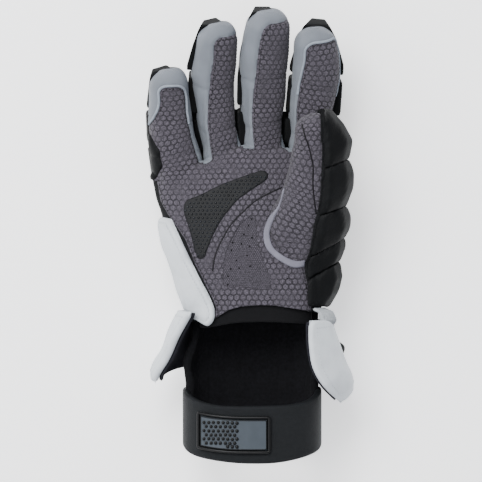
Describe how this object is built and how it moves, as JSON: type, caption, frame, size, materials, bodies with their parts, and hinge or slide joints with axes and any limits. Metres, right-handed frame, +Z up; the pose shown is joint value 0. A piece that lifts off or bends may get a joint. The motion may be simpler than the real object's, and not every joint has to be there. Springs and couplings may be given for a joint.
{
  "type": "lacrosse glove",
  "caption": "A right-hand lacrosse glove with cloth palm, foam rolls over the fingers and back, a flared cuff and a wide wrist strap with a bare rubber patch, lying palm up",
  "frame": {"origin": "On the floor under the middle of the glove's box, with the palm up", "axes": "+X from the little finger to the thumb, +Y from the cuff to the fingertips, +Z up out of the palm"},
  "size_m": [0.1522, 0.3322, 0.1019],
  "materials": {
    "palm_suede": "brushed suede with a hexagon emboss",
    "grip_print": "satin dotted print",
    "silver_gusset": "brushed stretch cloth",
    "backing": "plain woven cloth",
    "black_pad": "matt synthetic leather over foam",
    "white_leather": "smooth synthetic leather",
    "liner": "brushed neoprene",
    "strap": "smooth elastic with a fine weave",
    "patch_rubber": "moulded satin rubber"
  },
  "bodies": {
    "root": {"palm": "palm_suede", "palm_grip_patch": "grip_print", "thumb_band": "silver_gusset", "hand_back": "backing", "pinky_back": "backing", "ring_back": "backing", "middle_back": "backing", "index_back": "backing", "pinky_gusset": "silver_gusset", "pinky_roll_tip": "black_pad", "pinky_roll_mid": "black_pad", "pinky_roll_base": "black_pad", "ring_gusset": "silver_gusset", "ring_roll_tip": "black_pad", "ring_roll_mid": "black_pad", "ring_roll_base": "black_pad", "middle_gusset": "silver_gusset", "middle_roll_tip": "black_pad", "middle_roll_mid": "black_pad", "middle_roll_base": "black_pad", "index_gusset": "silver_gusset", "index_roll_tip": "black_pad", "index_roll_mid": "black_pad", "index_roll_base": "black_pad", "thumb_palm": "palm_suede", "thumb_back": "backing", "thumb_pad_wrist": "black_pad", "thumb_pad_heel": "black_pad", "thumb_pad_base": "black_pad", "thumb_pad_mid": "black_pad", "thumb_pad_tip": "black_pad", "knuckle_pad_pinky": "black_pad", "knuckle_pad_ring": "black_pad", "knuckle_pad_middle": "black_pad", "knuckle_pad_index": "black_pad", "upper_back_pad_pinky": "black_pad", "upper_back_pad_middle": "black_pad", "upper_back_pad_thumb": "black_pad", "lower_back_pad_pinky": "black_pad", "lower_back_pad_middle": "black_pad", "lower_back_pad_thumb": "black_pad", "heel_panel": "white_leather", "palm_collar": "liner", "wrist_gore": "white_leather", "wrist_liner": "liner", "cuff_back_pad": "black_pad", "wrist_strap": "strap", "strap_patch": "patch_rubber", "strap_patch_frame": "strap", "cuff_wing_pinky_shell": "white_leather", "cuff_wing_pinky_lining": "liner", "cuff_wing_thumb_shell": "white_leather", "cuff_wing_thumb_lining": "liner"}
  },
  "joints": []
}
